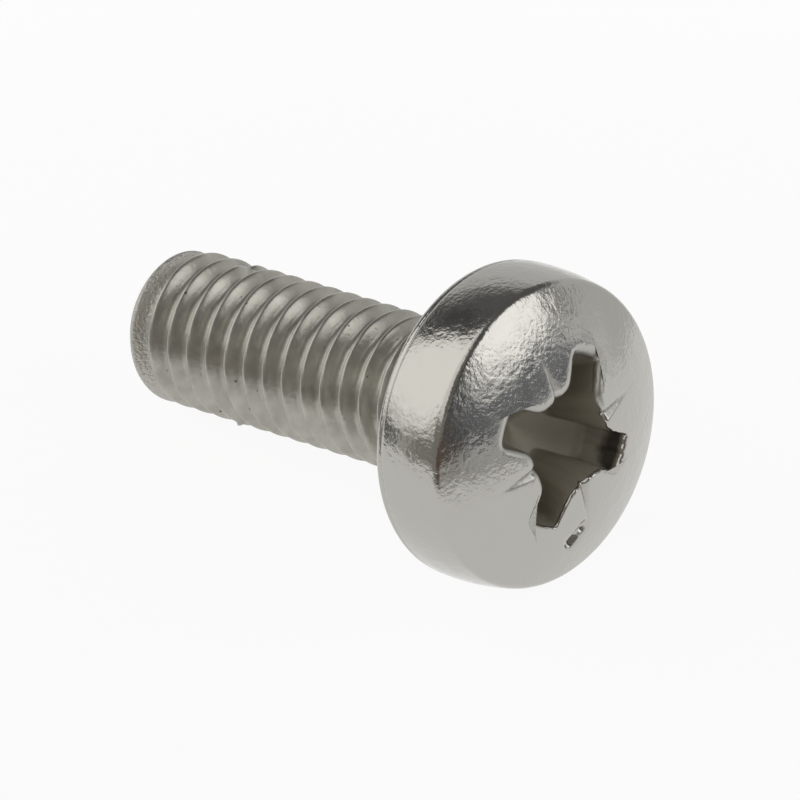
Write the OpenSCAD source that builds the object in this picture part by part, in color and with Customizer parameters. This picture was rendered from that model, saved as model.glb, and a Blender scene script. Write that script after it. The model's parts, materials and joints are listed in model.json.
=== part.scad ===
// M6 x 16 machine screw with a pan head, a cross recess of type Z and a thread
// rolled up to the head. Headed, rolled and plated as one piece of wire, so it is
// one solid. It lies as it comes to rest on a floor: on the widest ring of its
// head and on the last full crest of its thread. +X points along the screw from
// tip to head, +Z up, and the origin is at the centre of the footprint.
// Millimetres and degrees.

/* [Head] */
// Diameter of the head at its widest ring
head_d = 12; // [11:0.1:13]
// Height of the widest ring above the bearing face
widest_z = 0.95; // [0.6:0.05:1.4]
// Height of the head, bearing face to crown
head_h = 4.45; // [3.8:0.05:5]
// Radius of the domed crown
crown_r = 12; // [9:0.5:18]
// Radius of the side's outline, slightly barrelled
side_r = 9.5; // [7:0.5:16]
// Radius of the shoulder between the side and the crown
shoulder_r = 0.4; // [0.25:0.05:1]
// Radius of the edge between the bearing face and the side
base_r = 0.25; // [0.1:0.05:0.5]

/* [Recess] */
// Distance across opposite wings where they leave the crown
recess_m = 6.55; // [5.8:0.05:7.2]
// Depth below the crown at which the wings' ends meet the bottom cone
recess_depth = 2.1; // [1.6:0.05:2.6]
// Width of a wing
wing_w = 1.42; // [1:0.02:1.8]
// Lean of a wing's outer end to the screw's axis, in degrees
wing_lean = 21; // [15:0.5:28]
// Slope of the bottom cone, in degrees
bottom_slope = 28; // [15:1:40]
// Distance across the flats of the square core at the crown, its corners in the wings
core_w = 3.7; // [3:0.05:4]
// Lean of the core's flats to the screw's axis, in degrees
core_lean = 12; // [4:1:16]
// Length of a tick mark, from the core's flat outwards
tick_l = 1.5; // [0.8:0.1:1.8]
// Depth of a tick mark where it meets the core
tick_depth = 0.25; // [0.1:0.05:0.4]
// Turn of the recess about the axis, in degrees
recess_turn = -33; // [-90:1:90]

/* [Shank] */
// Length of the screw from the bearing face to the tip
shank_l = 16; // [10:0.5:30]
// Diameter of the plain neck below the head, that of the wire
neck_d = 5.3; // [5:0.05:5.6]
// Length of the plain neck
neck_l = 1.1; // [0.8:0.1:2]
// Radius of the fillet where the neck meets the bearing face
neck_fillet = 0.3; // [0.15:0.05:0.5]
// Length of the chamfer on the tip
tip_l = 0.35; // [0.2:0.05:1]
// How far the chamfer cuts in from the crests
tip_cut = 0.25; // [0.15:0.05:0.6]

/* [Thread] */
// Diameter over the crests
thread_d = 5.9; // [5.7:0.05:6.2]
// Pitch, one right-hand start
pitch = 1; // [0.8:0.05:1.25]
// Width of the flat on a crest
crest_w = 0.13; // [0.08:0.01:0.2]
// Width of the flat in a root
root_w = 0.18; // [0.1:0.01:0.26]
// Angle of a flank to the plane across the axis, in degrees
flank_angle = 30; // [27.5:0.5:32]
// Turns over which the thread fades out below the neck
fade_turns = 1; // [0.5:0.25:1.5]
// Turn of the thread about the axis, in degrees
thread_turn = 205; // [0:5:360]

/* [Hidden] */
steel = [0.7, 0.7, 0.69];
round_fn = 144;
head_r = head_d / 2;
crest_r = thread_d / 2;
neck_r = neck_d / 2;
tip_r = crest_r - tip_cut;
thread_depth = (pitch - crest_w - root_w) / 2 / tan(flank_angle);

// Arcs of the outline meet in line: the base edge's centre lies base_r inside the
// side's arc, and the shoulder's lies shoulder_r inside both side and crown
crown_z = head_h - crown_r;
side_centre = [head_r - side_r, widest_z];
base_rise = asin((base_r - widest_z) / (side_r - base_r));
edge = side_centre + (side_r - base_r) * [cos(base_rise), sin(base_rise)];
side_in = side_r - shoulder_r;
crown_in = crown_r - shoulder_r;
down = [0, crown_z] - side_centre;
apart = norm(down);
along = (side_in * side_in - crown_in * crown_in + apart * apart) / (2 * apart);
across = sqrt(side_in * side_in - along * along);
shoulder = side_centre + (down * along + [-down[1], down[0]] * across) / apart;
shoulder_low = atan2(shoulder[1] - side_centre[1], shoulder[0] - side_centre[0]);
shoulder_high = atan2(shoulder[1] - crown_z, shoulder[0]);

// Height of the crown at a distance from the axis
function crown_at(r) = crown_z + sqrt(crown_r * crown_r - r * r);

// The recess's outline in section: wing ends, then the bottom cone
wing_top_r = recess_m / 2;
wing_top_z = crown_at(wing_top_r);
floor_z = head_h - recess_depth;
floor_r = wing_top_r - (wing_top_z - floor_z) * tan(wing_lean);
above = 1;

// Helix: whole turns from past the tip to inside the neck, cut to length by the tip
segments = 36;
into_neck = 0.1;
turns = ceil((shank_l - neck_l) / pitch) + 2;
start_z = into_neck - neck_l - turns * pitch;
wire_r = neck_r - 0.03;
profile = [
    [crest_r, 0],
    [crest_r, crest_w],
    [crest_r - thread_depth, (pitch + crest_w - root_w) / 2],
    [crest_r - thread_depth, (pitch + crest_w + root_w) / 2]
];

// Lying: the head's rounded base edge and the last full crest touch the floor
crest_z = start_z - pitch * thread_turn / 360;
rest_z = crest_z + pitch * ceil((tip_l - shank_l - crest_z) / pitch);
edge_to_crest = [edge[0] - crest_r, edge[1] - rest_z];
lying_tilt = atan2(edge_to_crest[0], edge_to_crest[1])
    + asin(base_r / norm(edge_to_crest));
rest_h = crest_r * cos(lying_tilt) - rest_z * sin(lying_tilt);
crown_x = crown_z * cos(lying_tilt) + crown_r;
tip_x = -shank_l * cos(lying_tilt) - tip_r * sin(lying_tilt);

// Head
module head_outline() {
    // crown
    intersection() {
        translate([0, crown_z]) circle(r = crown_r, $fn = 4 * round_fn);
        polygon([
            [0, 0],
            shoulder,
            shoulder + 2 * shoulder_r * [cos(shoulder_high), sin(shoulder_high)],
            [0, head_h + above]
        ]);
    }
    // side
    intersection() {
        translate(side_centre) circle(r = side_r, $fn = 4 * round_fn);
        polygon([
            [0, 0],
            edge,
            edge + 2 * base_r * [cos(base_rise), sin(base_rise)],
            shoulder + 2 * shoulder_r * [cos(shoulder_low), sin(shoulder_low)],
            shoulder
        ]);
    }
    // shoulder, base edge and bearing face
    translate(shoulder) circle(r = shoulder_r, $fn = round_fn);
    translate(edge) circle(r = base_r, $fn = round_fn);
    polygon([[0, 0], [edge[0], 0], edge]);
}

module neck_outline() {
    difference() {
        translate([0, -neck_l]) square([neck_r + neck_fillet, neck_l + edge[1]]);
        translate([neck_r + neck_fillet, -neck_fillet])
            circle(r = neck_fillet, $fn = round_fn);
        translate([neck_r, -neck_l - above])
            square([neck_fillet + above, neck_l + above - neck_fillet]);
    }
}

module head() {
    color(steel) rotate_extrude($fn = round_fn) head_outline();
}

module neck() {
    color(steel) rotate_extrude($fn = round_fn) neck_outline();
}

// Recess
// Wings' ends and bottom in section, turned about the axis
module recess_outline() {
    top = head_h + above;
    polygon([
        [0, floor_z - floor_r * tan(bottom_slope)],
        [floor_r, floor_z],
        [wing_top_r + (top - wing_top_z) * tan(wing_lean), top],
        [0, top]
    ]);
}

module recess_core() {
    flat = core_w / 2;
    cylinder(
        h = head_h + above,
        r1 = (flat - head_h * tan(core_lean)) * sqrt(2),
        r2 = (flat + above * tan(core_lean)) * sqrt(2),
        $fn = 4
    );
}

// Grooves of V section between the wings, running out on the crown
module tick_marks() {
    inner = core_w / 2;
    outer = inner + tick_l;
    bottom = crown_at(inner) - tick_depth;
    slope = atan2(crown_at(outer) - bottom, tick_l);
    for (quarter = [0 : 3])
        rotate(45 + 90 * quarter)
            translate([inner, 0, bottom])
                rotate([0, -slope, 0])
                    rotate([45, 0, 0])
                        translate([-inner / 2, 0, 0])
                            cube([inner / 2 + tick_l + above, above, above]);
}

module recess() {
    rotate(recess_turn) {
        intersection() {
            rotate_extrude($fn = round_fn) recess_outline();
            union() {
                for (way = [0, 90])
                    rotate(way)
                        translate([-head_r, -wing_w / 2, -above])
                            cube([head_d, wing_w, head_h + 3 * above]);
                recess_core();
            }
        }
        tick_marks();
    }
}

// Thread
// Share of the full depth at a height: none at the neck, all of it fade_turns below
function depth_at(z) =
    let (t = min(1, max(0, (-neck_l - z) / (fade_turns * pitch))))
    t * t * (3 - 2 * t);

// Corner number q of the profile after s steps along the helix
function thread_point(s, q) =
    let (
        turn = s / segments,
        angle = 360 * turn + thread_turn,
        z = start_z + pitch * turn + profile[q][1],
        r = wire_r + depth_at(z) * (profile[q][0] - wire_r)
    )
    [r * cos(angle), r * sin(angle), z];

// Where that corner stands in the list; corner 4 is corner 0 one turn further on
function at(s, q) = q < 4 ? 4 * s + q : 4 * (s + segments);

// A ribbon along the helix whose turns share their edges, closed at each end by a fan
module thread_body() {
    last = turns * segments;
    points = [
        for (s = [0 : last + segments]) for (q = [0 : 3]) thread_point(s, q),
        [0, 0, start_z],
        [0, 0, into_neck - neck_l]
    ];
    low = len(points) - 2;
    high = len(points) - 1;
    faces = [
        for (s = [0 : last - 1]) for (q = [0 : 3]) for (half = [0, 1])
            half == 0
                ? [at(s, q), at(s, q + 1), at(s + 1, q + 1)]
                : [at(s, q), at(s + 1, q + 1), at(s + 1, q)],
        for (s = [0 : segments - 1]) [low, at(s, 0), at(s + 1, 0)],
        for (q = [0 : 3]) [low, at(0, q + 1), at(0, q)],
        for (s = [last : last + segments - 1]) [high, at(s + 1, 0), at(s, 0)],
        for (q = [0 : 3]) [high, at(last, q), at(last, q + 1)]
    ];
    polyhedron(points = points, faces = faces);
}

// What is left of the bar inside the chamfered tip
module tip_outline() {
    past = above / 2;
    slope = tip_cut / tip_l;
    polygon([
        [0, -shank_l],
        [tip_r, -shank_l],
        [crest_r + past, past / slope + tip_l - shank_l],
        [crest_r + past, above],
        [0, above]
    ]);
}

module thread() {
    color(steel)
        intersection() {
            thread_body();
            rotate_extrude($fn = round_fn) tip_outline();
        }
}

module screw() {
    translate([-(crown_x + tip_x) / 2, 0, rest_h])
        rotate([0, 90 - lying_tilt, 0])
            difference() {
                union() {
                    head();
                    neck();
                    thread();
                }
                color(steel) recess();
            }
}

screw();
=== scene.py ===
"""Looks of the machine screw. One closed mesh stands in for the CAD node, with a finish for its plated
head, its punched recess and its rolled thread, which also covers the sheared end. A white floor, a light
tent and the camera follow. The screw is worked out in millimetres in its own frame, bearing face at 0
and head upwards, and is placed in metres."""

import json

import bpy
import numpy as np
from mathutils import Matrix


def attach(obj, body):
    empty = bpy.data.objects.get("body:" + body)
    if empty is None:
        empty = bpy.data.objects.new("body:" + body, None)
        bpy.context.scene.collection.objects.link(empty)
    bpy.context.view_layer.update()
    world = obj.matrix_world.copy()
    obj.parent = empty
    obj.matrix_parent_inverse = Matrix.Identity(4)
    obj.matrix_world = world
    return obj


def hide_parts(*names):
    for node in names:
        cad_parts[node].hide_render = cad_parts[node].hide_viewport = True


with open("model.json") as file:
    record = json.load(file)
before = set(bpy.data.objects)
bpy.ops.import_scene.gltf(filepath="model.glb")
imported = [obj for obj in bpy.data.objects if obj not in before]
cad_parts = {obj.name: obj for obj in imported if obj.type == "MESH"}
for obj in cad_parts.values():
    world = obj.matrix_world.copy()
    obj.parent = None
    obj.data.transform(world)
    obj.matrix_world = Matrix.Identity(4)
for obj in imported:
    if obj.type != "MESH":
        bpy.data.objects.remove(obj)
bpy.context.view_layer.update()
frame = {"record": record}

# Lie of the screw
# A headed screw rests on the rim of its head and on a crest of its thread, so its axis leans up towards
# the head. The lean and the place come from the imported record's mounts.
mm_per_m = 1000
mounts = {mount["name"]: mount for mount in frame["record"]["mounts"]}
head_h = 4.45
axis = -np.array(mounts["bearing_face"]["axis"], float)
side = np.array([0.0, 1.0, 0.0])
under = np.cross(side, axis)
bearing_centre = mm_per_m * np.array(mounts["driver_recess"]["pos_m"], float) - head_h * axis


def placed(points):
    """The screw's own x, y and z, in millimetres, run along under, side and axis from the bearing
    centre; the result is in metres."""
    return (bearing_centre + points @ np.array([under, side, axis])) / mm_per_m


# Shank
# The wire's end, its thread rolled between flat dies without cutting, so crests and roots are rounded
# and satin. The end was sheared and chamfered before rolling, and it keeps a rough grain.
shank_l, neck_l, wire_r = 16.0, 1.1, 2.62
crest_r, pitch, crest_w, root_w, flank_angle = 2.95, 1.0, 0.13, 0.18, np.radians(30)
crest_soft, root_soft = 0.05, 0.06
tip_l, tip_r, tip_soft = 0.3, 2.82, 0.05
thread_turn, thread_top, fade_l = 205, 0.1 - neck_l, 1.0
thread_depth = (pitch - crest_w - root_w) / 2 / np.tan(flank_angle)
crest_start = thread_top - pitch * thread_turn / 360

# The seam of the rolling, one nicked crest and one burr: place, widths, and how far each goes in or out
seam_past, seam_w, seam_depth = -0.04, 0.02, 0.03
nick_turn, nick_z, nick_w, nick_h, nick_depth = 156, -12.75, 0.35, 0.4, 0.28
burr_turn, burr_z, burr_w, burr_rise = -38, -11.63, 0.1, 0.13


def turned(radius, angle, height):
    """Cylinder coordinates to points: radius times cosine and sine of the angle, then the height."""
    return np.stack(np.broadcast_arrays(radius * np.cos(angle), radius * np.sin(angle), height), axis=-1)


def smooth_step(value, low, high):
    """0 below low and 1 above high, with 3t squared less 2t cubed between them."""
    t = np.clip((value - low) / (high - low), 0, 1)
    return t * t * (3 - 2 * t)


def bell(value, width):
    """Bell curve: the exponential of minus the square of value over width."""
    return np.exp(-((value / width) ** 2))


def gap(angle, degrees):
    """Signed difference of an angle from one in degrees, between minus and plus half a turn, in radians."""
    return (angle - np.radians(degrees) + np.pi) % (2 * np.pi) - np.pi


def rounded_ramp(value, softness):
    """0 for negative values and the value itself for positive ones, joined by a hyperbola."""
    return (value + np.sqrt(value * value + softness * softness)) / 2


def thread_radius(angle, height):
    """Crest radius less the depth times a wave of the height along the helix. The wave is 0 on the crest,
    1 in the root and a straight ramp between, with rounded corners. It fades to the wire below the neck
    and stays in the tip's cone. The seam along a crest, the nick and the burr are bell curves."""
    along = (height - crest_start) / pitch - angle / (2 * np.pi) - crest_w / 2 / pitch
    past_crest = ((along + 0.5) % 1 - 0.5) * pitch
    crest_edge, root_edge = crest_w / 2, (pitch - root_w) / 2
    from_crest = np.abs(past_crest)
    down_flank = rounded_ramp(from_crest - crest_edge, crest_soft)
    into_root = rounded_ramp(from_crest - root_edge, root_soft)
    wave = np.clip((down_flank - into_root) / (root_edge - crest_edge), 0, 1)
    seam = seam_depth * bell(past_crest - seam_past, seam_w)
    whole = smooth_step(-neck_l - height, 0, fade_l)
    radius = wire_r + whole * (crest_r - wave * thread_depth - seam - wire_r)
    cone = tip_r + (height + shank_l) * (crest_r - tip_r) / tip_l
    radius = radius - rounded_ramp(radius - cone, tip_soft)
    nick = bell(gap(angle, nick_turn) * crest_r, nick_w) * bell(height - nick_z, nick_h)
    burr = bell(gap(angle, burr_turn) * crest_r, burr_w) * bell(height - burr_z, burr_w)
    return radius - nick_depth * nick + burr_rise * burr


# The thread is one ribbon along the helix. Its rows are closest together round the crest, in hundredths
# of a millimetre from the crest's middle. Turns past the end ring and the neck ring are pressed onto them.
shank_columns, turns_above, ring_above = 176, 3, 0.05
shank_angles = 2 * np.pi * np.arange(shank_columns) / shank_columns
from_crest_places = np.array([-45, -33, -21, -13, -8, -5, -3, -1, 2, 6, 11, 18, 29, 41]) / 100
rows_per_turn = len(from_crest_places)
end_ring_z, neck_ring_z = ring_above - shank_l, ring_above - neck_l
shank_turns = int(np.ceil((neck_ring_z - end_ring_z) / pitch)) + turns_above + 1
helix_rows = (np.arange(shank_turns)[:, None] + from_crest_places / pitch + crest_w / 2 / pitch).ravel()
helix_start = crest_start - pitch * (shank_turns - turns_above)
helix_z = helix_start + pitch * (helix_rows[:, None] + shank_angles / (2 * np.pi))
helix_z = np.clip(helix_z, end_ring_z, neck_ring_z)
thread_points = turned(thread_radius(shank_angles, helix_z), shank_angles, helix_z)

thread_rows = np.arange(thread_points[..., 0].size).reshape(-1, shank_columns)
low_rows = np.hstack([thread_rows[:-rows_per_turn], thread_rows[rows_per_turn:, :1]])
ribbon_low, ribbon_high = low_rows[:-1], low_rows[1:]
thread_faces = np.concatenate([
    np.stack([ribbon_low[:, :-1], ribbon_low[:, 1:], ribbon_high[:, 1:]], axis=-1).reshape(-1, 3),
    np.stack([ribbon_low[:, :-1], ribbon_high[:, 1:], ribbon_high[:, :-1]], axis=-1).reshape(-1, 3),
])

# The end: a rounded edge inside the cone, then a face pressed very slightly hollow by the rolling
edge_in, edge_drop, hollow, face_rings = 0.06, 0.045, 0.12, 11
end_ring = thread_radius(shank_angles, end_ring_z)
end_share = np.array([0, 0.1, 0.3, 0.6, 0.85, 1])[:, None]
face_share = np.linspace(1, 0, face_rings + 1)[1:, None]
edge_r = end_ring - edge_in * (1 - np.cos(end_share * np.pi / 2))
edge_z = end_ring_z - edge_drop * np.sin(end_share * np.pi / 2)
face_r = (end_ring - edge_in) * face_share
face_z = end_ring_z - edge_drop + hollow * (1 - face_share) ** 0.5 * np.ones_like(end_ring)
tip_points = np.concatenate([
    turned(edge_r, shank_angles, edge_z),
    turned(face_r, shank_angles, face_z),
])[::-1]

# Head
# Upset from the wire in two blows: flat below, a side slightly barrelled between the dies, a tight
# shoulder and a low dome. The rim below the dies' joint is left free, so it stays a little smaller, with
# a fine step above it.
head_r, widest_z, crown_r, side_r, shoulder_r, base_r = 6.0, 0.95, 12.0, 9.5, 0.4, 0.25
neck_r, neck_fillet = 2.65, 0.3
rim_h, rim_in, step_in, step_w = 0.36, 0.015, 0.035, 0.05
crown_z = head_h - crown_r
side_centre = np.array([head_r - side_r, widest_z])
base_rise = np.arcsin((base_r - widest_z) / (side_r - base_r))
edge_centre = side_centre + (side_r - base_r) * np.array([np.cos(base_rise), np.sin(base_rise)])

# The shoulder's centre is where circles inside the side's and the crown's arcs cross
side_in, crown_in = side_r - shoulder_r, crown_r - shoulder_r
down = np.array([0, crown_z]) - side_centre
apart = np.linalg.norm(down)
along = (side_in**2 - crown_in**2 + apart**2) / (2 * apart)
across = np.sqrt(side_in**2 - along**2)
shoulder_centre = side_centre + (down * along + np.array([-down[1], down[0]]) * across) / apart
shoulder_low = np.arctan2(shoulder_centre[1] - side_centre[1], shoulder_centre[0] - side_centre[0])
shoulder_high = np.arctan2(shoulder_centre[1] - crown_z, shoulder_centre[0])


def arc(centre, radius, start, end, steps, crowding=1.0):
    """Points of a profile on a circle from one angle to another, closer at the start for a crowding
    above 1."""
    at = start + (end - start) * np.linspace(0, 1, steps) ** crowding
    return centre + radius * np.stack([np.cos(at), np.sin(at)], axis=-1)


def line(start, end, steps):
    """Points of a profile on a straight line, without its two ends."""
    at = np.linspace(0, 1, steps + 2)[1:-1, None]
    return (1 - at) * np.array(start) + at * np.array(end)


head_columns = 2 * shank_columns
head_angles = 2 * np.pi * np.arange(head_columns) / head_columns
fillet = arc(np.array([neck_r + neck_fillet, -neck_fillet]), neck_fillet, np.pi, np.pi / 2, steps=6)
base_edge = arc(edge_centre, base_r, -np.pi / 2, base_rise, steps=9)
side_arc = arc(side_centre, side_r, base_rise, shoulder_low, steps=30, crowding=1.6)
shoulder = arc(shoulder_centre, shoulder_r, shoulder_low, shoulder_high, steps=14)
head_profile = np.concatenate([
    line((wire_r, neck_ring_z), fillet[0], steps=2),
    fillet,
    line(fillet[-1], base_edge[0], steps=4),
    base_edge,
    side_arc[1:],
    shoulder[1:],
])
profile_z = head_profile[:, 1]
below_step = 1 - smooth_step(profile_z, rim_h - step_w, rim_h + step_w)
rim = np.where(head_profile[:, 0] > edge_centre[0], below_step, 0)
head_profile[:, 0] -= rim_in * rim + step_in * bell(profile_z - rim_h, step_w)
neck_ring = turned(wire_r, head_angles, neck_ring_z)[None]
head_points = np.concatenate([neck_ring, turned(head_profile[:, :1], head_angles, head_profile[:, 1:])])

# Recess
# Punched cold in the second blow: four wings with leaning ends, a tapered core with flats between the
# wings, a cone at the bottom, four tick marks, and the crown's metal drawn down round the mouth into a
# soft lip. A knock has left a long dent beside it.
recess_turn = np.radians(-33)
wing_end_r, wing_half, core_flat = 6.55 / 2, 1.42 / 2, 3.7 / 2
recess_depth, bottom_slope = 2.1, np.radians(28)
wing_lean, wing_draft, core_lean = np.radians(21), np.radians(1.5), np.radians(12)
tick_turn, tick_end, tick_depth = np.radians(-3.4), core_flat + 1.6, 0.22
tick_steep, tick_soft = 0.85, 0.05
lip_narrow, lip_wide, lip_wide_way, lip_fall = 0.13, 0.4, np.radians(-112), 1.1
torn, tears, tear_groups = 0.04, 41, 17
dent_at, dent_way = 3.94 * np.exp(1j * np.radians(0.6)), np.radians(124)
dent_w, dent_depth, dent_front, dent_back = 0.19, 0.33, 0.32, 0.12
ridge_at, ridge_w, ridge_share = 0.14, 0.1, 0.4

# Columns for a wing's round end, its side and the core's flat, and columns over which corners are rounded
end_steps, side_steps = head_columns // 32, head_columns * 7 // 128
flat_steps = head_columns // 8 - end_steps - side_steps
wing_blur, core_blur, core_reach, lip_blur = 1.6, 5.0, 9.0, 2.5
crown_rings, lip_rings, wall_rings, floor_rings = 36, 9, 9, 9


def crown_at(radius):
    """Height of the crown's sphere at a distance from the axis."""
    return crown_z + np.sqrt(crown_r**2 - radius**2)


def blurred(outline, width):
    """A closed outline whose every point is a bell-weighted mean of its neighbours, which rounds its
    corners."""
    steps = np.arange(head_columns)
    steps = np.minimum(steps, head_columns - steps)
    weights = bell(steps, width)
    weights /= weights.sum()
    return np.fft.ifft(np.fft.fft(outline) * np.fft.fft(weights).real)


def recess_outline(depth):
    """The recess in plan at a depth, as complex numbers. An eighth runs along the wing's round end, back
    along its side and up the core's flat; mirrored and turned it makes the whole. Wing ends are rounded a
    little, the corners of the core more."""
    end_r = wing_end_r - depth * np.tan(wing_lean)
    half = wing_half - depth * np.tan(wing_draft)
    flat = core_flat - depth * np.tan(core_lean)
    round_end = end_r * np.exp(1j * np.arcsin(half / end_r) * np.linspace(0, 1, end_steps + 1))
    corner = np.sqrt(2) * flat - half + 1j * half
    along_side = round_end[-1] + (corner - round_end[-1]) * np.linspace(0, 1, side_steps + 1)[1:]
    middle = flat * np.exp(1j * np.pi / 4)
    along_flat = corner + (middle - corner) * np.linspace(0, 1, flat_steps + 1)[1:]
    eighth = np.concatenate([round_end, along_side, along_flat])
    quarter = np.concatenate([eighth, 1j * np.conj(eighth[-2:0:-1])])
    whole = np.concatenate([quarter * 1j**turn for turn in range(4)])
    step = np.arange(head_columns) % (head_columns // 4)
    from_corner = np.abs(np.minimum(step, head_columns // 4 - step) - end_steps - side_steps)
    soft = bell(from_corner, core_reach)
    return soft * blurred(whole, core_blur) + (1 - soft) * blurred(whole, wing_blur)


def tick_groove(place):
    """Depth of the tick marks: V grooves between the wings, with a soft bottom. They run out on the crown
    at tick_end, are tick_depth deep at the core's flat and at most 1.2 times that."""
    radius = np.abs(place)
    from_tick = (np.angle(place) - tick_turn) % (np.pi / 2) - np.pi / 4
    depth = tick_depth * np.clip((tick_end - radius) / (tick_end - core_flat), -2, 1.2)
    return rounded_ramp(depth - tick_steep * np.abs(radius * np.sin(from_tick)), tick_soft)


def crown_height(place):
    """The crown's sphere less the tick marks and less a long dent beside the recess, a bell curve across.
    Along it, bell curves of the distance squared and to the fourth make it even with steep ends, and a
    low ridge crosses it."""
    dent = (place * np.exp(1j * recess_turn) - dent_at) * np.exp(-1j * dent_way)
    length = np.where(dent.real > 0, bell(dent.real**2, dent_front), bell(dent.real**4, dent_back))
    ridge = ridge_share * bell(dent.real - ridge_at, ridge_w)
    dented = dent_depth * length * bell(dent.imag, dent_w) * (1 - ridge)
    return crown_at(np.abs(place)) - tick_groove(place) - dented


mouth = recess_outline(0.0)
lip_side = np.cos(np.angle(mouth) - lip_wide_way)
ragged = torn * smooth_step(-lip_side, 0.2, 0.8)
ragged = ragged * np.sin(tears * head_angles + 1) * np.sin(tear_groups * head_angles)
mouth = mouth * (1 + ragged / np.abs(mouth))
tangent = np.roll(mouth, -1) - np.roll(mouth, 1)
lip = lip_narrow + (lip_wide - lip_narrow) * smooth_step(lip_side, -0.6, 0.5)
lip_out = blurred(mouth - 1j * lip * tangent / np.abs(tangent), lip_blur)
lip_in_depth = lip_fall * lip
shoulder_ring = shoulder[-1, 0] * np.exp(1j * (head_angles - recess_turn))
crown_share = np.linspace(0, 1, crown_rings + 1)[1:, None]
crown_plan = shoulder_ring * (1 - crown_share) + lip_out * crown_share

# Each column of the wall goes down until it meets the bottom cone, which six rounds find closely enough
floor_z = head_h - recess_depth
floor_r = wing_end_r - (crown_at(wing_end_r) - floor_z) * np.tan(wing_lean)
mouth_z = crown_height(mouth)
wall_depth = np.full(head_columns, recess_depth)
deepest = recess_outline(recess_depth)
for _ in range(6):
    foot = mouth + (deepest - mouth) * wall_depth / recess_depth
    wall_depth = mouth_z - floor_z + (floor_r - np.abs(foot)) * np.tan(bottom_slope)

# The lip bends from the crown down into the wall along a parabola whose corner point is on the mouth
lip_share = np.linspace(0, 1, lip_rings + 1)[1:, None]
of_out, of_mouth, of_in = (1 - lip_share) ** 2, 2 * lip_share * (1 - lip_share), lip_share**2
wall_in = mouth + (deepest - mouth) * lip_in_depth / recess_depth
lip_plan = of_out * lip_out + of_mouth * mouth + of_in * wall_in
lip_z = of_out * crown_height(lip_out) + of_mouth * mouth_z + of_in * (mouth_z - lip_in_depth)
wall_share = np.linspace(0, 1, wall_rings + 1)[1:, None]
wall_at = lip_in_depth + (wall_depth - lip_in_depth) * wall_share
wall_plan = mouth + (deepest - mouth) * wall_at / recess_depth
wall_z = mouth_z - wall_at
floor_share = np.linspace(1, 0, floor_rings + 1)[1:, None]
floor_plan = wall_plan[-1] * floor_share
floor_depth = floor_z - (floor_r - np.abs(floor_plan)) * np.tan(bottom_slope)


def turned_back(plan, height):
    """A plan in the recess's own turn, as complex numbers, with its heights, to the screw's points."""
    plan = plan * np.exp(1j * recess_turn)
    return np.stack([plan.real, plan.imag, height], axis=-1)


recess_points = np.concatenate([
    turned_back(crown_plan, crown_height(crown_plan)),
    turned_back(lip_plan, lip_z),
    turned_back(wall_plan, wall_z),
    turned_back(floor_plan, floor_depth),
])

# One skin
# The screw is one piece of metal, so shank, head and recess are joined at their shared rings into one
# closed mesh. Marks on its points say where the finishes change: near the sheared end, on the crests that
# the dies rub, where the punch drew the metal down, and where shade is painted into one wing's deep end.
torn_from_end, clean_from_end = 0.45, 0.85
# The last two numbers: where the painted shade in one wing's deep end begins and where it is full
rubbed_w, drawn_depth, wing_shade_from, wing_shade_full = 0.07, 0.05, 2.84, 3.0
head_points = np.concatenate([head_points, recess_points])
blocks = [tip_points.reshape(-1, 3), thread_points.reshape(-1, 3), head_points.reshape(-1, 3)]
starts = np.cumsum([0] + [len(block) for block in blocks])
points = np.concatenate(blocks)
punched_rows = len(wall_z) + len(floor_depth)
punched_count = punched_rows * head_columns
zones = np.repeat([2, 0, 1], [starts[2], len(blocks[2]) - punched_count, punched_count])
near_end = 1 - smooth_step(points[:, 2] + shank_l, torn_from_end, clean_from_end)
on_crest = np.tile(np.abs(from_crest_places) < rubbed_w, shank_turns)[:, None] * np.ones(shank_columns)
drawn_down = np.zeros(head_points.shape[:2])
lip_row = len(drawn_down) - punched_rows - len(lip_plan)
lip_drawn = smooth_step(lip_share, 0, 0.4) * smooth_step(lip_side, -0.7, 0)
drawn_down[lip_row - len(crown_plan) : lip_row] = np.clip(tick_groove(crown_plan) / drawn_depth, 0, 1)
drawn_down[lip_row : lip_row + len(lip_plan)] = lip_drawn
# Painted shade: a mask that is 1 at the deep end of one wing and 0 elsewhere, which darkens its colour
painted_wing_shade_mask = np.zeros(head_points.shape[:2])
painted_wing_shade_mask[-punched_rows:] = smooth_step(np.concatenate([wall_plan, floor_plan]).imag, wing_shade_from, wing_shade_full)
marks = {
    "sheared": near_end,
    "rubbed": np.concatenate([np.zeros(len(blocks[0])), on_crest.ravel(), np.zeros(len(blocks[2]))]),
    "drawn": np.concatenate([np.zeros(starts[2]), drawn_down.ravel()]),
    "painted_wing_shade": np.concatenate([np.zeros(starts[2]), painted_wing_shade_mask.ravel()]),
}


def grid_faces(rows):
    """Two triangles for each square of a grid of vertex numbers, whose last column meets its first."""
    low, high = rows[:-1], rows[1:]
    low_next, high_next = np.roll(low, -1, axis=1), np.roll(high, -1, axis=1)
    first = np.stack([low, low_next, high_next], axis=-1)
    second = np.stack([low, high_next, high], axis=-1)
    return np.concatenate([first.reshape(-1, 3), second.reshape(-1, 3)])


# The head has two columns for each of the shank's, so three triangles close each step at the neck
tip_rows = np.arange(starts[1]).reshape(-1, shank_columns)
head_rows = starts[2] + np.arange(len(blocks[2])).reshape(-1, head_columns)
neck_low = starts[1] + thread_rows[-1]
neck_next = np.roll(neck_low, -1)
neck_even, neck_odd = head_rows[0, ::2], head_rows[0, 1::2]
neck_last = np.roll(neck_even, -1)
stitches = np.concatenate([
    np.stack([neck_low, neck_odd, neck_even], axis=-1),
    np.stack([neck_low, neck_next, neck_odd], axis=-1),
    np.stack([neck_next, neck_last, neck_odd], axis=-1),
])
faces = np.concatenate([
    grid_faces(tip_rows),
    starts[1] + thread_faces,
    stitches,
    grid_faces(head_rows),
])

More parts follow.
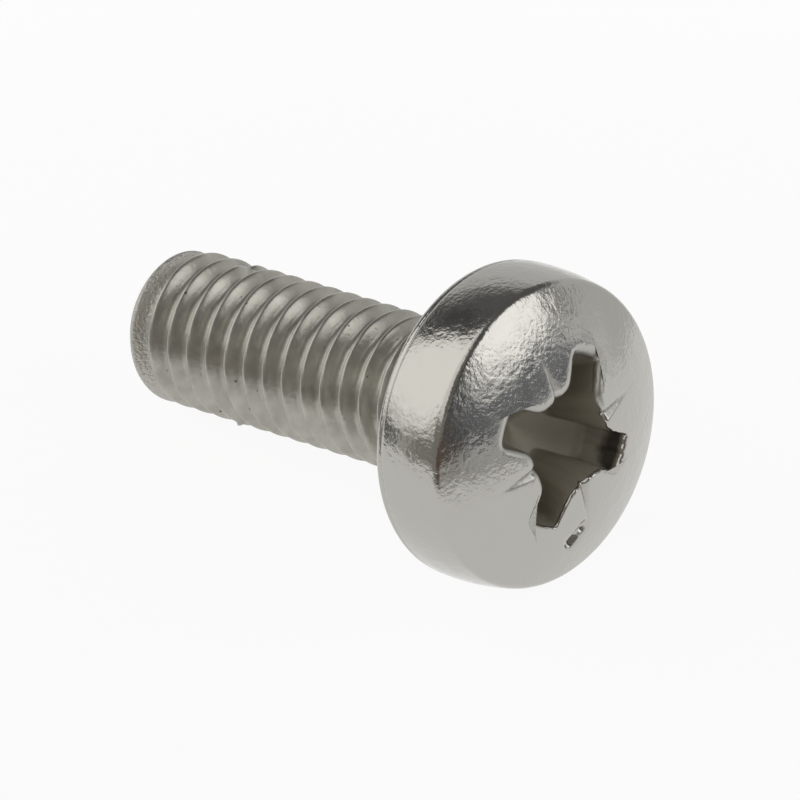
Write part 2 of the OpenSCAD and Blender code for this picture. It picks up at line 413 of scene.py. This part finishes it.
# Points that agree to five decimals of a millimetre become one, and triangles left without width go
_, first_of, same_as = np.unique(np.round(points, 5), axis=0, return_index=True, return_inverse=True)
faces = same_as.reshape(-1)[faces]
points, zones = points[first_of], zones[first_of]
whole = (faces != np.roll(faces, 1, axis=1)).all(axis=1)
faces = faces[whole]

mesh = bpy.data.meshes.new("screw_steel")
mesh.from_pydata(placed(points), [], faces.tolist())
mesh.polygons.foreach_set("material_index", zones[faces].max(axis=1).astype(np.int32))
for name, values in marks.items():
    mark = mesh.attributes.new(name, "FLOAT", "POINT")
    mark.data.foreach_set("value", values[first_of].astype(np.float32))
mesh.shade_smooth()
mesh.update()
screw = bpy.data.objects.new("screw_steel", mesh)
bpy.context.collection.objects.link(screw)

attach(screw, "root")
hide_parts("screw")

# Bright plating
# Zinc over cold-headed steel: a bright, slightly warm mirror. Under it lies the orange peel of the upset
# skin, a fine crinkle on a slower swell, and tumbling has left the gloss a little uneven.
peel_mm, peel_rise_mm, swell_mm, swell_rise_mm = 0.16, 0.012, 0.6, 0.024


def linear(code):
    """An sRGB hex code as linear red, green, blue and alpha: the sRGB curve undone, channel by channel."""
    channels = np.array([int(code[i : i + 2], 16) for i in (1, 3, 5)]) / 255
    low, high = channels / 12.92, ((channels + 0.055) / 1.055) ** 2.4
    return (*np.where(channels <= 0.04045, low, high), 1.0)


def add(tree, kind, settings, inputs):
    """Adds a node, sets its properties, and fills its inputs, by name or number, with values or with
    links."""
    node = tree.nodes.new(kind)
    for name, value in settings.items():
        setattr(node, name, value)
    for name, value in inputs.items():
        if isinstance(value, bpy.types.NodeSocket):
            tree.links.new(value, node.inputs[name])
        else:
            node.inputs[name].default_value = value
    return node


def new_material(name):
    """An empty node material and its tree."""
    material = bpy.data.materials.new(name)
    material.use_nodes = True
    material.node_tree.nodes.clear()
    return material, material.node_tree


plated, tree = new_material("bright_plated_steel")
place = add(tree, "ShaderNodeTexCoord", {}, {}).outputs["Object"]
peel = add(tree, "ShaderNodeTexNoise", {}, {"Vector": place, "Scale": mm_per_m / peel_mm, "Detail": 2.0})
swell = add(tree, "ShaderNodeTexNoise", {}, {"Vector": place, "Scale": mm_per_m / swell_mm, "Detail": 3.0})
swell_bump = add(tree, "ShaderNodeBump", {}, {
    "Height": swell.outputs["Fac"], "Distance": swell_rise_mm / mm_per_m,
})
peel_bump = add(tree, "ShaderNodeBump", {}, {
    "Height": peel.outputs["Fac"], "Distance": peel_rise_mm / mm_per_m,
    "Normal": swell_bump.outputs["Normal"],
})
drawn = add(tree, "ShaderNodeAttribute", {"attribute_name": "drawn"}, {})
gloss = add(tree, "ShaderNodeMapRange", {}, {
    "Value": swell.outputs["Fac"], "From Min": 0.3, "From Max": 0.7, "To Min": 0.1, "To Max": 0.2,
})
dulled = add(tree, "ShaderNodeMapRange", {}, {
    "Value": drawn.outputs["Fac"], "To Min": gloss.outputs["Result"], "To Max": 0.42,
})
metal = add(tree, "ShaderNodeBsdfPrincipled", {}, {
    "Base Color": linear("#B4B2AC"), "Metallic": 1.0, "Roughness": dulled.outputs["Result"],
    "Normal": peel_bump.outputs["Normal"],
})
add(tree, "ShaderNodeOutputMaterial", {}, {"Surface": metal.outputs["BSDF"]})
mesh.materials.append(plated)

# Punched steel
# The recess gets little plating, so its burnished walls are dull and olive, and shade is painted near black
# into the deep end of one wing. The punch has left a fine smear on them.
smear_mm, smear_rise_mm = 0.15, 0.01
punched, tree = new_material("punched_steel")
place = add(tree, "ShaderNodeTexCoord", {}, {}).outputs["Object"]
smear = add(tree, "ShaderNodeTexNoise", {}, {"Vector": place, "Scale": mm_per_m / smear_mm, "Detail": 3.0})
smear_bump = add(tree, "ShaderNodeBump", {}, {
    "Height": smear.outputs["Fac"], "Distance": smear_rise_mm / mm_per_m,
})
# Painted shade: the deep end of one wing is mixed towards near black
painted_wing_shade = add(tree, "ShaderNodeAttribute", {"attribute_name": "painted_wing_shade"}, {})
colour = add(tree, "ShaderNodeMix", {"data_type": "RGBA"}, {
    "Factor": painted_wing_shade.outputs["Fac"], "A": linear("#9A9486"), "B": linear("#3A332D"),
})
metal = add(tree, "ShaderNodeBsdfPrincipled", {}, {
    "Base Color": colour.outputs["Result"], "Metallic": 0.4, "Roughness": 0.5,
    "Normal": smear_bump.outputs["Normal"],
})
add(tree, "ShaderNodeOutputMaterial", {}, {"Surface": metal.outputs["BSDF"]})
mesh.materials.append(punched)

# Rolled thread
# The dies leave the flanks satin under the plating and rub the crests nearly bright. The wire was sheared
# and its edge chamfered before rolling, so the end keeps a torn grain. The satin's own grain is too fine
# to show, so it is drawn coarser.
grain_mm, grain_rise_mm, tear_mm, tear_rise_mm = 0.2, 0.01, 0.12, 0.07
stain_mm, speck_mm = 0.7, 0.35
rolled, tree = new_material("rolled_steel")
place = add(tree, "ShaderNodeTexCoord", {}, {}).outputs["Object"]
rubbed = add(tree, "ShaderNodeAttribute", {"attribute_name": "rubbed"}, {}).outputs["Fac"]
sheared = add(tree, "ShaderNodeAttribute", {"attribute_name": "sheared"}, {}).outputs["Fac"]
grain = add(tree, "ShaderNodeTexNoise", {}, {
    "Vector": place, "Scale": mm_per_m / grain_mm, "Detail": 4.0, "Roughness": 0.65,
})
grain_bump = add(tree, "ShaderNodeBump", {}, {
    "Height": grain.outputs["Fac"], "Distance": grain_rise_mm / mm_per_m,
})
tear = add(tree, "ShaderNodeTexNoise", {}, {"Vector": place, "Scale": mm_per_m / tear_mm, "Detail": 2.0})
tear_bump = add(tree, "ShaderNodeBump", {}, {
    "Height": tear.outputs["Fac"], "Distance": tear_rise_mm / mm_per_m, "Strength": sheared,
    "Normal": grain_bump.outputs["Normal"],
})
stain = add(tree, "ShaderNodeTexNoise", {}, {"Vector": place, "Scale": mm_per_m / stain_mm, "Detail": 3.0})
stained = add(tree, "ShaderNodeMapRange", {}, {
    "Value": stain.outputs["Fac"], "From Min": 0.25, "From Max": 0.75,
})
clean = add(tree, "ShaderNodeMix", {"data_type": "RGBA"}, {
    "Factor": stained.outputs["Result"], "A": linear("#A19F96"), "B": linear("#BDBBB2"),
})
speck = add(tree, "ShaderNodeTexNoise", {}, {"Vector": place, "Scale": mm_per_m / speck_mm, "Detail": 1.0})
specked = add(tree, "ShaderNodeMapRange", {}, {
    "Value": speck.outputs["Fac"], "From Min": 0.74, "From Max": 0.8,
})
dotted = add(tree, "ShaderNodeMix", {"data_type": "RGBA"}, {
    "Factor": specked.outputs["Result"], "A": clean.outputs["Result"], "B": linear("#55524B"),
})
colour = add(tree, "ShaderNodeMix", {"data_type": "RGBA"}, {
    "Factor": sheared, "A": dotted.outputs["Result"], "B": linear("#C0BDB6"),
})
gloss = add(tree, "ShaderNodeMapRange", {}, {"Value": rubbed, "To Min": 0.26, "To Max": 0.16})
dulled = add(tree, "ShaderNodeMapRange", {}, {
    "Value": sheared, "To Min": gloss.outputs["Result"], "To Max": 0.36,
})
metal = add(tree, "ShaderNodeBsdfPrincipled", {}, {
    "Base Color": colour.outputs["Result"], "Metallic": 0.7, "Roughness": dulled.outputs["Result"],
    "Normal": tear_bump.outputs["Normal"],
})
add(tree, "ShaderNodeOutputMaterial", {}, {"Surface": metal.outputs["BSDF"]})
mesh.materials.append(rolled)

# Floor
# A sheet of matt white paper, lit plainly. It shows white to the eye and in the metal, and keeps the
# screw's soft shadow.
floor_size, white_share = 3.0, 0.92
floor_mesh = bpy.data.meshes.new("floor")
corners = np.array([[-1, -1, 0], [1, -1, 0], [1, 1, 0], [-1, 1, 0]]) * floor_size / 2
floor_mesh.from_pydata(corners.tolist(), [], [(0, 1, 2, 3)])
floor = bpy.data.objects.new("floor", floor_mesh)
bpy.context.collection.objects.link(floor)
paper, tree = new_material("white_paper")
rays = add(tree, "ShaderNodeLightPath", {}, {}).outputs
seen = add(tree, "ShaderNodeMath", {"operation": "MAXIMUM"}, {
    0: rays["Is Camera Ray"], 1: rays["Is Glossy Ray"],
})
seen = add(tree, "ShaderNodeMath", {"operation": "MAXIMUM"}, {
    0: seen.outputs[0], 1: rays["Is Transmission Ray"],
})
share = add(tree, "ShaderNodeMath", {"operation": "MULTIPLY"}, {0: seen.outputs[0], 1: white_share})
matte = add(tree, "ShaderNodeBsdfDiffuse", {}, {"Color": linear("#EDEDED")})
glow = add(tree, "ShaderNodeEmission", {}, {"Color": linear("#FFFFFF"), "Strength": 1.0})
mix = add(tree, "ShaderNodeMixShader", {}, {
    0: share.outputs[0], 1: matte.outputs["BSDF"], 2: glow.outputs["Emission"],
})
add(tree, "ShaderNodeOutputMaterial", {}, {"Surface": mix.outputs["Shader"]})
floor_mesh.materials.append(paper)

# Studio
# A light tent of white cloth over the table, round a low ring of card close to the screw. Both are laid
# out by azimuth and elevation as seen from the screw, with the head's way at azimuth 0. The tent's skirt
# ends just above the floor.
tent_r, ring_r, middle_h, spread, cloth_level = 1.0, 0.04, 0.006, 3, 0.95
tent_rows, ring_rows, skirt_el = 60, 12, -0.3
ring_top = np.degrees(np.arctan2(middle_h, ring_r))
ring_els = np.linspace(-ring_top, ring_top, ring_rows)
tent_els = np.linspace(skirt_el, 90, tent_rows)
tent_az, tent_el = np.meshgrid(
    np.radians(np.arange(-180, 180, spread)), np.radians(np.concatenate([ring_els, tent_els]))
)
tent_glow = np.full((*tent_az.shape, 3), cloth_level)


def hung(azimuths, elevations, soft, level):
    """Hangs a light or a card between two azimuths and two elevations in degrees, with soft borders: the
    glow goes to the level by the product of a window across and a window up."""
    middle, half = np.mean(azimuths), np.radians(azimuths[1] - azimuths[0]) / 2
    edge = np.radians(soft) / 2
    low, high = np.radians(elevations)
    across = 1 - smooth_step(np.abs(gap(tent_az, middle)), half - edge, half + edge)
    above = smooth_step(tent_el, low - edge, low + edge)
    upward = above * (1 - smooth_step(tent_el, high - edge, high + edge))
    window = (across * upward)[..., None]
    tent_glow[:] = tent_glow + (np.array(level) - tent_glow) * window


# The large window on the camera's left, in two parts, and a dark card between it and the head
hung((-168, -106), (9, 72), 12, (1.38, 1.37, 1.35))
hung((-112, -50), (29, 70), 10, (1.1, 1.09, 1.05))
hung((-56, -12), (20, 62), 10, (0.2, 0.19, 0.18))

# The far side: a grey card low down and a dark one above it, then pale and dark ones behind the tip
hung((52, 165), (-14, 34), 10, (0.71, 0.71, 0.71))
hung((54, 176), (30, 95), 14, (0.14, 0.14, 0.14))
hung((158, 204), (-14, 12), 10, (0.85, 0.84, 0.82))
hung((162, 194), (12, 30), 8, (0.28, 0.28, 0.28))
hung((162, 192), (30, 60), 8, (0.09, 0.09, 0.09))

# One card overhead, and low ones on the camera's side that darken the screw's near edges
hung((-45, 60), (60, 95), 8, (0.14, 0.14, 0.14))
hung((-112, -10), (-14, 26), 10, (0.3, 0.29, 0.27))
hung((-155, -116), (-14, 4), 8, (0.14, 0.14, 0.13))
hung((-55, -12), (-5, 12), 8, (0.16, 0.11, 0.09))

# The smaller and brighter window beyond the head, among dark cards, and a pale strip along the floor
hung((-16, 7), (2, 80), 6, (0.1, 0.1, 0.1))
hung((-8, 46), (3, 15), 8, (0.19, 0.2, 0.22))
hung((48, 57), (12, 45), 5, (0.16, 0.16, 0.16))
hung((8, 48), (17, 54), 10, (1.78, 1.78, 1.78))
hung((1, 16), (12.5, 20), 6, (1.0, 1.0, 1.0))
hung((-16, 16), (42, 80), 8, (0.12, 0.12, 0.12))
hung((-30, 20), (-14, -1), 6, (0.5, 0.5, 0.49))

cloth, tree = new_material("tent_cloth")
woven = add(tree, "ShaderNodeAttribute", {"attribute_name": "glow"}, {})
glow = add(tree, "ShaderNodeEmission", {}, {"Color": woven.outputs["Color"], "Strength": 1.0})
add(tree, "ShaderNodeOutputMaterial", {}, {"Surface": glow.outputs["Emission"]})
ring_spots = np.stack([
    ring_r * np.cos(tent_az), ring_r * np.sin(tent_az), middle_h + ring_r * np.tan(tent_el),
], axis=-1)[:ring_rows]
tent_spots = tent_r * np.stack([
    np.cos(tent_el) * np.cos(tent_az),
    np.cos(tent_el) * np.sin(tent_az),
    middle_h / tent_r + np.sin(tent_el),
], axis=-1)[ring_rows:]
for name, spots, glows in [
    ("light_tent", tent_spots, tent_glow[ring_rows:]),
    ("low_ring", ring_spots, tent_glow[:ring_rows]),
]:
    studio_mesh = bpy.data.meshes.new(name)
    studio_faces = grid_faces(np.arange(spots[..., 0].size).reshape(spots.shape[:2]))
    studio_mesh.from_pydata(spots.reshape(-1, 3), [], studio_faces.tolist())
    colours = studio_mesh.attributes.new("glow", "FLOAT_COLOR", "POINT")
    opaque = np.ones((*glows.shape[:2], 1))
    colours.data.foreach_set("color", np.concatenate([glows, opaque], axis=-1).ravel())
    studio_mesh.materials.append(cloth)
    cards = bpy.data.objects.new(name, studio_mesh)
    bpy.context.collection.objects.link(cards)
    cards.visible_camera = False
    cards.visible_shadow = False

world = bpy.data.worlds.new("studio")
bpy.context.scene.world = world
world.use_nodes = True
world.node_tree.nodes.clear()
sky = add(world.node_tree, "ShaderNodeBackground", {}, {"Color": linear("#FFFFFF"), "Strength": 1.0})
add(world.node_tree, "ShaderNodeOutputWorld", {}, {"Surface": sky.outputs["Background"]})

# Camera
# A long lens looks down on the screw, as in the photograph. The head's bearing centre lands on its pixel
# there.
camera_azimuth, camera_elevation, camera_distance = np.radians(-46.65), np.radians(33.76), 0.401
image_width_px, bearing_centre_px, px_per_metre = 800, np.array([487.98, 416.9]), 27269
sensor_mm = 36
towards = np.array([
    np.cos(camera_elevation) * np.cos(camera_azimuth),
    np.cos(camera_elevation) * np.sin(camera_azimuth),
    np.sin(camera_elevation),
])
right = np.array([-np.sin(camera_azimuth), np.cos(camera_azimuth), 0])
up = np.cross(towards, right)
off_px = bearing_centre_px - image_width_px / 2
aim = bearing_centre / mm_per_m - right * off_px[0] / px_per_metre + up * off_px[1] / px_per_metre
camera_data = bpy.data.cameras.new("camera")
camera_data.lens = sensor_mm * px_per_metre * camera_distance / image_width_px
camera_data.sensor_width = sensor_mm
camera_data.clip_start, camera_data.clip_end = 0.01, 10
camera = bpy.data.objects.new("camera", camera_data)
bpy.context.collection.objects.link(camera)
pose = np.eye(4)
pose[:3] = np.stack([right, up, towards, aim + camera_distance * towards], axis=-1)
camera.matrix_world = Matrix(pose.tolist())
bpy.context.scene.camera = camera

bpy.context.scene.view_settings.view_transform = "Standard"
